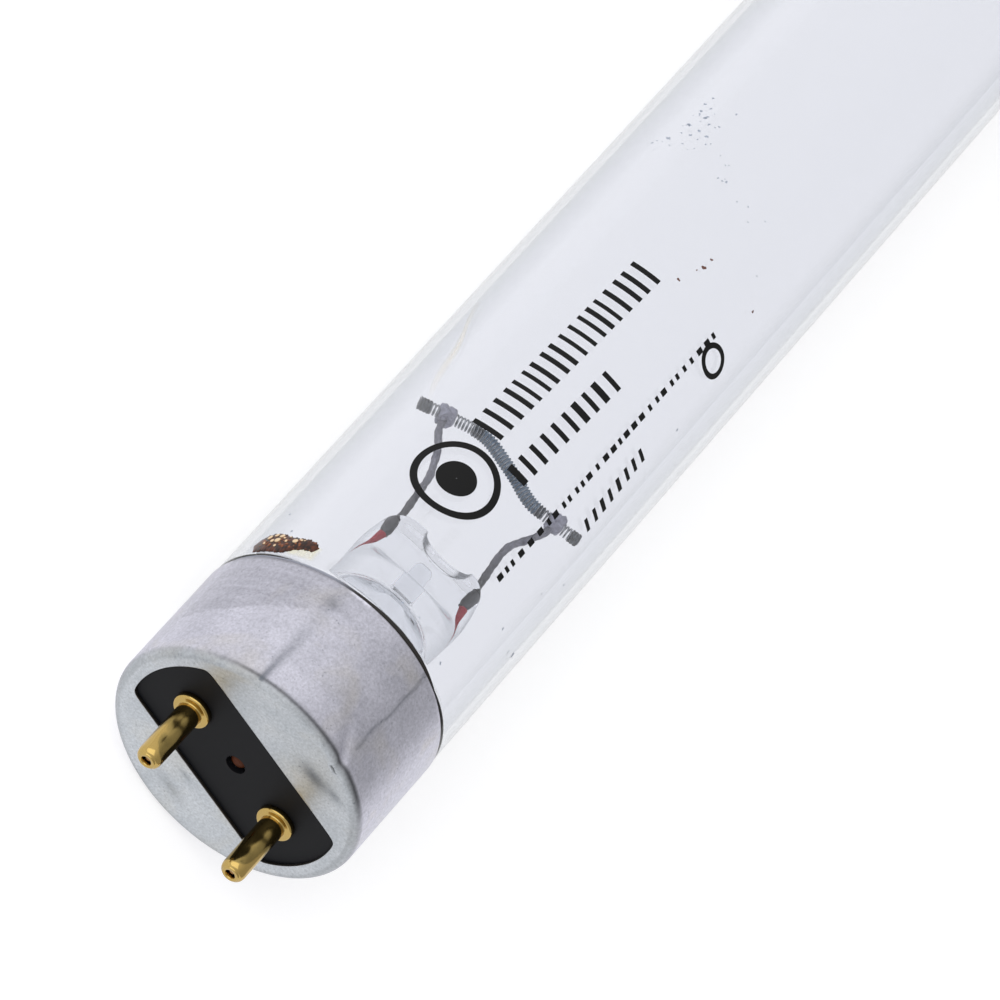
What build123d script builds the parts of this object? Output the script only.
from build123d import *
import os
from math import cos, radians, sin

# A clear germicidal discharge tube, T8 glass with a two-pin G13 cap at each end.
# The lamp axis is X and its middle is the origin. The near end is at +X.
# Every end is drawn in its own face plane: z points out of the lamp, x runs along
# the line of the pins, and "depth" is how far a point lies behind the base face.

# Lamp as a whole
base_face_length = 437.4
glass_diameter = 25.4
glass_wall = 0.8

# Aluminium cap shell
cap_step = 0.1
cap_length = 13.5
cap_wall = 0.35
cap_edge_radius = 0.9
cap_lip_chamfer = 0.1
slot_width = 10.8
slot_end_inset = 1.8
slot_corner_radius = 1.6

# Insulator plate behind the slot
plate_thickness = 1.6
plate_clearance = 0.1
plate_chamfer = 0.3
vent_diameter = 2.0

# Contact pins
pin_spacing = 12.7
pin_diameter = 2.4
pin_length = 7.1
pin_wall = 0.35
pin_seat_clearance = 0.02
pin_nose_length = 0.9
pin_nose_diameter = 1.6
pin_nose_wall = 0.6
tip_hole_diameter = 1.0
collar_diameter = 3.7
collar_thickness = 0.65
collar_rounding = 0.25
stake_diameter = 3.2
stake_thickness = 0.4
crimp_depth = 0.18
crimp_length = 3.2
crimp_height = 3.3
crimp_turn = 20.0

# Glass neck under the cap, and the cement between them
neck_gap = 0.75
seal_depth = 4.0
shoulder_length = 1.0
shoulder_gap = 0.4
shoulder_rounding = 0.5
cement_clearance = 0.05
cement_start_depth = 5.2
cement_end_gap = 0.9

# Cement squeezed out over the glass at the near cap, by its angle from the pin line.
# Each lump is (angle from the middle one, radius, distance behind the lip).
overflow_angle = 159.0
overflow_gap = 0.05
overflow_lumps = ((-11.0, 0.8, 0.5), (-5.5, 1.2, 0.9), (0.0, 1.5, 1.1), (6.0, 1.1, 1.2), (9.5, 0.7, 1.0))
lump_sink = 0.6
tongue_arc = 20.0
tongue_lap = 0.5
tongue_height = 0.3

# Glass stem: flare, tube and pinched press
mount_turn = 18.0
stem_diameter = 12.2
stem_wall = 1.0
press_root_depth = 23.0
press_shoulder_length = 3.4
press_grip_length = 5.0
press_width = 12.4
press_thickness = 4.4
press_top_rounding = 1.7
bore_dome_length = 2.0

# Exhaust tube and the hole that it was pumped through
exhaust_diameter = 4.4
exhaust_wall = 0.9
exhaust_tip_depth = 2.7
exhaust_tip_length = 3.4
exhaust_hole_width = 5.0
exhaust_hole_height = 2.4
exhaust_hole_drop = 2.4

# Lead wires, from the pin to the coil
lead_spacing = 9.0
wire_fit = 0.01
sleeve_diameter = 1.3
sleeve_length = 2.4
sleeve_stand = 0.5
dumet_top_diameter = 0.9
dumet_diameter = 0.45
dumet_taper_length = 2.6
outer_lead_diameter = 0.45
outer_lead_bend_depth = 7.2
outer_lead_pin_depth = 3.6
outer_lead_tip_inset = 0.35
inner_lead_diameter = 0.75
inner_lead_knee_drop = 5.9
inner_lead_spread_drop = 2.3
lead_bend_radius = 0.9

# Cathode coil and the two clamps that hold it
coil_diameter = 1.25
coil_standoff = 11.9
coil_overall = 18.8
coil_bow = 1.1
coil_bow_place = -3.4
coil_dip = 0.4
coil_dip_place = 4.2
coil_bend_radius = 1.2
clamp_spacing = 13.8
clamp_length = 1.5
clamp_wall = 0.4
clamp_clearance = 0.02

# Mercury bead lying on the glass
mercury_diameter = 0.9
mercury_from_middle = -120.0

# Places worked out from the sizes above
glass_radius = glass_diameter / 2
cap_radius = glass_radius + cap_step
cap_bore_radius = cap_radius - cap_wall
slot_end_radius = cap_radius - slot_end_inset
neck_radius = cap_bore_radius - neck_gap
neck_bore_radius = neck_radius - glass_wall
plate_radius = cap_bore_radius - plate_clearance
plate_back_depth = cap_wall + plate_thickness
stem_radius = stem_diameter / 2
stem_bore_radius = stem_radius - stem_wall
flare_radius = neck_bore_radius - stem_radius
flare_start_depth = seal_depth + stem_wall + flare_radius
shoulder_start_depth = cap_length - shoulder_gap
shoulder_end_depth = shoulder_start_depth + shoulder_length
cement_end_depth = cap_length - cement_end_gap
pin_radius = pin_diameter / 2
press_full_depth = press_root_depth + press_shoulder_length
press_top_depth = press_full_depth + press_grip_length
exhaust_hole_depth = press_top_depth - exhaust_hole_drop
sleeve_depth = press_top_depth + sleeve_stand
sleeve_root_depth = sleeve_depth - sleeve_length
coil_depth = press_top_depth + coil_standoff
inner_lead_knee_depth = coil_depth - inner_lead_knee_drop
inner_lead_spread_depth = coil_depth - inner_lead_spread_drop
coil_radius = coil_diameter / 2
clamp_half = clamp_length / 2


def end_plane(side):
    """The base face plane of one end: z points out of the lamp and x along the pins."""
    return Plane(origin=(side * base_face_length / 2, 0, 0), x_dir=(0, side, 0), z_dir=(side, 0, 0))


def profile_plane(face):
    """The plane through the lamp axis where x is the radius and y is minus the depth."""
    return Plane(origin=face.origin, x_dir=face.x_dir, z_dir=-face.y_dir)


def at_depth(face, depth):
    """A plane that lies behind the base face by one depth."""
    return face.offset(-depth)


def turned(face, angle):
    """The same plane turned about its own z, so about the lamp axis."""
    x_dir = face.x_dir.rotate(Axis((0, 0, 0), face.z_dir), angle)
    return Plane(origin=face.origin, x_dir=x_dir, z_dir=face.z_dir)


def glass_half_outline(side):
    """The outer line of the glass from the lamp's middle to one seal, as points (x, radius)."""
    half = base_face_length / 2
    return [
        (side * (half - shoulder_end_depth), glass_radius),
        (side * (half - shoulder_start_depth), neck_radius),
        (side * (half - seal_depth), neck_radius),
    ]


def make_glass_tube():
    """One drawn tube with both ends necked down to pass under the caps."""
    outer = [*reversed(glass_half_outline(-1)), *glass_half_outline(1)]
    inner = [(x, radius - glass_wall) for x, radius in reversed(outer)]
    with BuildPart() as tube:
        with BuildSketch(Plane.XY) as wall:
            with BuildLine():
                Polyline(*outer, *inner, close=True)
            make_face()
            shoulders = wall.vertices().filter_by(
                lambda corner: abs(corner.X) < base_face_length / 2 - seal_depth - shoulder_gap
            )
            fillet(shoulders, radius=shoulder_rounding)
        revolve(axis=Axis.X)
    tube.part.label = "glass_tube"
    return tube.part


def make_cap_shell(face, label):
    """A drawn aluminium cup whose closed end is pierced by the slot for the insulator."""
    axis = Axis(face.origin, face.z_dir)
    with BuildPart() as shell:
        with BuildSketch(profile_plane(face)) as outline:
            with BuildLine():
                Polyline((0, 0), (cap_radius, 0), (cap_radius, -cap_length), (0, -cap_length), close=True)
            make_face()
            front_corner = outline.vertices().group_by(Axis.X)[-1].group_by(Axis.Y)[-1]
            fillet(front_corner, radius=cap_edge_radius)
        revolve(axis=axis)
        back = shell.faces().filter_by(GeomType.PLANE).sort_by(Axis(face.origin, face.z_dir))[0]
        offset(amount=-cap_wall, openings=back)
        with BuildSketch(face) as slot:
            Circle(slot_end_radius)
            Rectangle(2 * slot_end_radius, slot_width, mode=Mode.INTERSECT)
            fillet(slot.vertices(), radius=slot_corner_radius)
        extrude(amount=-2 * cap_wall, mode=Mode.SUBTRACT)
        lip = shell.edges().filter_by(GeomType.CIRCLE).group_by(Axis(face.origin, face.z_dir))[0]
        chamfer(lip, length=cap_lip_chamfer)
    shell.part.label = label
    return shell.part


def make_insulator_plate(face, label):
    """A black moulded disc behind the slot, with a hole for each pin and a vent hole."""
    with BuildPart() as plate:
        with BuildSketch(at_depth(face, plate_back_depth)):
            Circle(plate_radius)
        extrude(amount=plate_thickness)
        rims = plate.edges().filter_by(GeomType.CIRCLE).group_by(Axis(face.origin, face.z_dir))
        chamfer(rims[0], length=plate_chamfer)
        chamfer(rims[-1], length=cap_edge_radius - cap_wall)
        with BuildSketch(at_depth(face, plate_back_depth)):
            with GridLocations(pin_spacing, 0, 2, 1):
                Circle(pin_radius + pin_seat_clearance)
            Circle(vent_diameter / 2)
        extrude(amount=plate_thickness, mode=Mode.SUBTRACT)
    plate.part.label = label
    return plate.part


def make_pin(face, across, label):
    """A hollow brass pin with a collar in front of the plate and a staked rim behind it."""
    foot = Plane(origin=face.from_local_coords((across, 0, 0)), x_dir=face.x_dir, z_dir=face.z_dir)
    rear_depth = plate_back_depth + stake_thickness
    collar_front = collar_thickness - cap_wall
    crimp_middle = (pin_length + collar_front - pin_nose_length) / 2 + collar_front / 2
    crimp_radius = crimp_length**2 / (8 * crimp_depth) + crimp_depth / 2
    with BuildPart() as pin:
        with BuildSketch(profile_plane(foot)):
            with BuildLine():
                Polyline(
                    (tip_hole_diameter / 2, pin_length),
                    (pin_nose_diameter / 2, pin_length),
                    (pin_radius, pin_length - pin_nose_length),
                    (pin_radius, collar_front),
                    (collar_diameter / 2 - collar_rounding, collar_front),
                    (collar_diameter / 2, collar_front - collar_rounding),
                    (collar_diameter / 2, -cap_wall),
                    (pin_radius, -cap_wall),
                    (pin_radius, -plate_back_depth),
                    (stake_diameter / 2, -plate_back_depth),
                    (pin_radius, -rear_depth),
                    (pin_radius - pin_wall, -rear_depth),
                    (pin_radius - pin_wall, pin_length - pin_nose_length - pin_nose_wall),
                    (tip_hole_diameter / 2, pin_length - pin_nose_length),
                    close=True,
                )
            make_face()
        revolve(axis=Axis(foot.origin, foot.z_dir))
        middle = foot.from_local_coords((0, 0, crimp_middle))
        with BuildSketch(Plane(origin=middle, x_dir=foot.z_dir, z_dir=turned(foot, crimp_turn).x_dir)):
            for way in (-1, 1):
                with Locations((0, way * (pin_radius - crimp_depth + crimp_radius))):
                    Circle(crimp_radius)
        extrude(amount=crimp_height / 2, both=True, mode=Mode.SUBTRACT)
    pin.part.label = label
    return pin.part


def make_basing_cement(face, label, overflow=None):
    """A cured ring that glues the neck into the cap, with any cement that was squeezed out."""
    with BuildPart() as cement:
        with BuildSketch(at_depth(face, cement_end_depth)):
            Circle(cap_bore_radius - cement_clearance)
            Circle(neck_radius + cement_clearance, mode=Mode.SUBTRACT)
        extrude(amount=cement_end_depth - cement_start_depth)
        if overflow:
            add(overflow)
    cement.part.label = label
    return cement.part


def make_overflow(face):
    """Cement that ran out at one place: a tongue behind the cap's lip and lumps on the glass."""
    skin = glass_radius + overflow_gap
    lip_depth = cap_length + overflow_gap
    with BuildPart() as overflow:
        for angle, size, behind in overflow_lumps:
            around = radians(overflow_angle + angle)
            middle = skin - size * lump_sink
            spot = (middle * cos(around), middle * sin(around), -lip_depth - behind)
            with Locations(face.from_local_coords(spot)):
                Sphere(size)
        with BuildSketch(at_depth(face, cap_length + glass_diameter)):
            Circle(skin)
        extrude(amount=2 * glass_diameter, mode=Mode.SUBTRACT)
        with BuildSketch(at_depth(face, lip_depth)):
            Circle(2 * glass_diameter)
        extrude(amount=cap_length, mode=Mode.SUBTRACT)
        with BuildSketch(profile_plane(turned(face, overflow_angle - tongue_arc / 2))):
            with BuildLine():
                Polyline(
                    (neck_radius + cement_clearance, -cement_end_depth + cement_clearance),
                    (cap_bore_radius - cement_clearance, -cement_end_depth + cement_clearance),
                    (cap_bore_radius - cement_clearance, -lip_depth),
                    (glass_radius + tongue_height, -lip_depth),
                    (glass_radius + tongue_height, -shoulder_end_depth - tongue_lap),
                    (skin, -shoulder_end_depth - tongue_lap),
                    (skin, -shoulder_end_depth),
                    (neck_radius + cement_clearance, -shoulder_start_depth + cement_clearance),
                    close=True,
                )
            make_face()
        revolve(axis=Axis(face.origin, face.z_dir), revolution_arc=tongue_arc)
    return overflow.part


def make_wire_way(mount, way):
    """The way that one wire leaves in the press, a little wider than the wire."""
    place = Plane(
        origin=mount.from_local_coords((way * lead_spacing / 2, 0, 0)), x_dir=mount.x_dir, z_dir=mount.z_dir
    )
    narrow = dumet_diameter / 2 + wire_fit
    wide = dumet_top_diameter / 2 + wire_fit
    sleeve = sleeve_diameter / 2 + wire_fit
    with BuildPart() as wire_way:
        with BuildSketch(profile_plane(place)):
            with BuildLine():
                Polyline(
                    (0, -press_root_depth + bore_dome_length),
                    (narrow, -press_root_depth + bore_dome_length),
                    (narrow, -sleeve_root_depth + dumet_taper_length),
                    (wide, -sleeve_root_depth + wire_fit),
                    (sleeve, -sleeve_root_depth + wire_fit),
                    (sleeve, -sleeve_depth - wire_fit),
                    (0, -sleeve_depth - wire_fit),
                    close=True,
                )
            make_face()
        revolve(axis=Axis(place.origin, place.z_dir))
    return wire_way.part


def make_exhaust_way(mount):
    """The pumping passage up from the stem bore, opening through the side of the press."""
    side = Plane(origin=mount.from_local_coords((0, 0, -exhaust_hole_depth)), x_dir=mount.x_dir, z_dir=mount.y_dir)
    with BuildPart() as passage:
        with BuildSketch(at_depth(mount, exhaust_hole_depth)):
            Circle(exhaust_diameter / 2 - exhaust_wall)
        extrude(amount=exhaust_hole_depth - press_root_depth + bore_dome_length)
        with BuildSketch(side):
            Ellipse(exhaust_hole_width / 2, exhaust_hole_height / 2)
        extrude(amount=press_thickness)
    return passage.part


def make_stem(face, label):
    """The glass mount: a flare fused to the neck, a tube, and a press pinched round the wires."""
    mount = turned(face, mount_turn)
    axis = Axis(face.origin, face.z_dir)
    rim_depth = seal_depth + stem_wall
    bow = radians(45)
    ways = [make_wire_way(mount, -1), make_wire_way(mount, 1), make_exhaust_way(mount)]
    with BuildPart() as stem:
        with BuildSketch(profile_plane(face)):
            with BuildLine():
                Polyline((0, -press_root_depth), (0, -seal_depth), (neck_bore_radius, -seal_depth),
                         (neck_bore_radius, -rim_depth))
                ThreePointArc(
                    (neck_bore_radius, -rim_depth),
                    (neck_bore_radius - flare_radius * sin(bow), -flare_start_depth + flare_radius * cos(bow)),
                    (stem_radius, -flare_start_depth),
                )
                Polyline((stem_radius, -flare_start_depth), (stem_radius, -press_root_depth),
                         (0, -press_root_depth))
            make_face()
        revolve(axis=axis)
        with BuildSketch(at_depth(mount, press_root_depth)):
            Circle(stem_radius)
        with BuildSketch(at_depth(mount, press_full_depth)):
            SlotOverall(press_width, press_thickness)
        loft()
        with BuildSketch(at_depth(mount, press_top_depth)):
            SlotOverall(press_width, press_thickness)
        extrude(amount=press_top_depth - press_full_depth)
        top = stem.edges().group_by(Axis(face.origin, face.z_dir))[0]
        fillet(top, radius=press_top_rounding)
        with BuildSketch(profile_plane(face)):
            with BuildLine():
                reach = flare_radius + stem_wall
                Polyline((0, -press_root_depth), (0, -seal_depth), (neck_bore_radius, -seal_depth))
                ThreePointArc(
                    (neck_bore_radius, -seal_depth),
                    (neck_bore_radius - reach * sin(bow), -flare_start_depth + reach * cos(bow)),
                    (stem_bore_radius, -flare_start_depth),
                )
                Line((stem_bore_radius, -flare_start_depth), (stem_bore_radius, -press_root_depth + bore_dome_length))
                ThreePointArc(
                    (stem_bore_radius, -press_root_depth + bore_dome_length),
                    (stem_bore_radius * cos(bow), -press_root_depth + bore_dome_length * (1 - sin(bow))),
                    (0, -press_root_depth),
                )
            make_face()
        revolve(axis=axis, mode=Mode.SUBTRACT)
        add(ways, mode=Mode.SUBTRACT)
    stem.part.label = label
    return stem.part


def make_exhaust_tube(face, label):
    """The glass tube that the lamp was pumped through, melted shut to a tip behind the vent hole."""
    radius = exhaust_diameter / 2
    bore = radius - exhaust_wall
    tip_start = exhaust_tip_depth + exhaust_tip_length
    top_depth = press_root_depth - bore_dome_length
    with BuildPart() as tube:
        with BuildSketch(profile_plane(face)):
            with BuildLine():
                Polyline((bore, -tip_start), (bore, -top_depth), (radius, -top_depth), (radius, -tip_start))
                Spline((radius, -tip_start), (0, -exhaust_tip_depth), tangents=((0, 1), (-1, 0)))
                Line((0, -exhaust_tip_depth), (0, -exhaust_tip_depth - exhaust_wall))
                Spline((0, -exhaust_tip_depth - exhaust_wall), (bore, -tip_start), tangents=((1, 0), (0, -1)))
            make_face()
        revolve(axis=Axis(face.origin, face.z_dir))
    tube.part.label = label
    return tube.part


def sweep_wire(points, diameter, bend_radius):
    """A round wire along straight stretches with rounded bends, as a builder."""
    with BuildPart() as wire:
        with BuildLine() as route:
            FilletPolyline(*points, radius=bend_radius)
        with BuildSketch(Plane(origin=route.line @ 0, z_dir=route.line % 0)):
            Circle(diameter / 2)
        sweep(path=route.line)
    return wire.part


def make_inner_lead(face, way, label):
    """The lead above the press: a welded sleeve, the bent wire, and a clamp closed on the coil."""
    mount = turned(face, mount_turn)
    foot = way * lead_spacing / 2
    hold = way * clamp_spacing / 2
    bore = coil_radius + clamp_clearance
    route = [
        mount.from_local_coords((foot, 0, -sleeve_depth)),
        mount.from_local_coords((foot, 0, -inner_lead_knee_depth)),
        mount.from_local_coords((hold, 0, -inner_lead_spread_depth)),
        mount.from_local_coords((hold, 0, -coil_depth + bore + clamp_wall / 2)),
    ]
    wire = sweep_wire(route, inner_lead_diameter, lead_bend_radius)
    with BuildPart() as lead:
        add(wire)
        with BuildSketch(Plane(origin=mount.from_local_coords((foot, 0, -sleeve_depth)),
                               x_dir=mount.x_dir, z_dir=mount.z_dir)):
            Circle(sleeve_diameter / 2)
        extrude(amount=sleeve_length)
        with BuildSketch(Plane(origin=mount.from_local_coords((hold, 0, -coil_depth)), z_dir=mount.x_dir)):
            Circle(bore + clamp_wall)
            Circle(bore, mode=Mode.SUBTRACT)
        extrude(amount=clamp_half, both=True)
    lead.part.label = label
    return lead.part


def make_dumet_seal(face, way, label):
    """The copper-red seal wire that the press glass grips, widest where it meets the sleeve."""
    mount = turned(face, mount_turn)
    place = Plane(
        origin=mount.from_local_coords((way * lead_spacing / 2, 0, 0)), x_dir=mount.x_dir, z_dir=mount.z_dir
    )
    with BuildPart() as seal:
        with BuildSketch(profile_plane(place)):
            with BuildLine():
                Polyline(
                    (0, -press_root_depth + bore_dome_length),
                    (dumet_diameter / 2, -press_root_depth + bore_dome_length),
                    (dumet_diameter / 2, -sleeve_root_depth + dumet_taper_length),
                    (dumet_top_diameter / 2, -sleeve_root_depth),
                    (0, -sleeve_root_depth),
                    close=True,
                )
            make_face()
        revolve(axis=Axis(place.origin, place.z_dir))
    seal.part.label = label
    return seal.part


def make_outer_lead(face, way, label):
    """The lead from the seal wire down the stem and out into its pin, where it is crimped."""
    mount = turned(face, mount_turn)
    foot = way * lead_spacing / 2
    pin = way * pin_spacing / 2
    route = [
        mount.from_local_coords((foot, 0, -press_root_depth + bore_dome_length)),
        mount.from_local_coords((foot, 0, -outer_lead_bend_depth)),
        face.from_local_coords((pin, 0, -outer_lead_pin_depth)),
        face.from_local_coords((pin, 0, pin_length - outer_lead_tip_inset)),
    ]
    wire = sweep_wire(route, outer_lead_diameter, lead_bend_radius)
    wire.label = label
    return wire


def make_cathode_coil(face, label):
    """The coated tungsten coil with its tails, drawn as the rod that its turns fill."""
    mount = turned(face, mount_turn)
    tail = coil_overall / 2
    held = clamp_spacing / 2 - clamp_length
    route = [
        (-tail, 0, -coil_depth),
        (-held, 0, -coil_depth),
        (coil_bow_place, 0, -coil_depth - coil_bow),
        (coil_dip_place, 0, -coil_depth + coil_dip),
        (held, 0, -coil_depth),
        (tail, 0, -coil_depth),
    ]
    coil = sweep_wire([mount.from_local_coords(point) for point in route], coil_diameter, coil_bend_radius)
    coil.label = label
    return coil


def make_mercury_bead():
    """The dose of mercury, a bead lying on the lowest line of the glass."""
    radius = mercury_diameter / 2
    with BuildPart() as bead:
        with Locations((mercury_from_middle, 0, -glass_radius + glass_wall + radius + wire_fit)):
            Sphere(radius)
    bead.part.label = "mercury_bead"
    return bead.part


def make_end(side, end):
    """All the pieces of one end of the lamp."""
    face = end_plane(side)
    overflow = make_overflow(face) if end == "near" else None
    pieces = [
        make_cap_shell(face, f"{end}_cap_shell"),
        make_insulator_plate(face, f"{end}_insulator_plate"),
        make_basing_cement(face, f"{end}_basing_cement", overflow),
        make_stem(face, f"{end}_stem"),
        make_exhaust_tube(face, f"{end}_exhaust_tube"),
        make_cathode_coil(face, f"{end}_cathode_coil"),
    ]
    for way, letter in ((-1, "a"), (1, "b")):
        pieces += [
            make_pin(face, way * pin_spacing / 2, f"{end}_pin_{letter}"),
            make_inner_lead(face, way, f"{end}_inner_lead_{letter}"),
            make_dumet_seal(face, way, f"{end}_dumet_seal_{letter}"),
            make_outer_lead(face, way, f"{end}_outer_lead_{letter}"),
        ]
    return pieces


os.makedirs("parts", exist_ok=True)
for piece in [make_glass_tube(), make_mercury_bead(), *make_end(1, "near"), *make_end(-1, "far")]:
    export_step(piece, f"parts/{piece.label}.step")
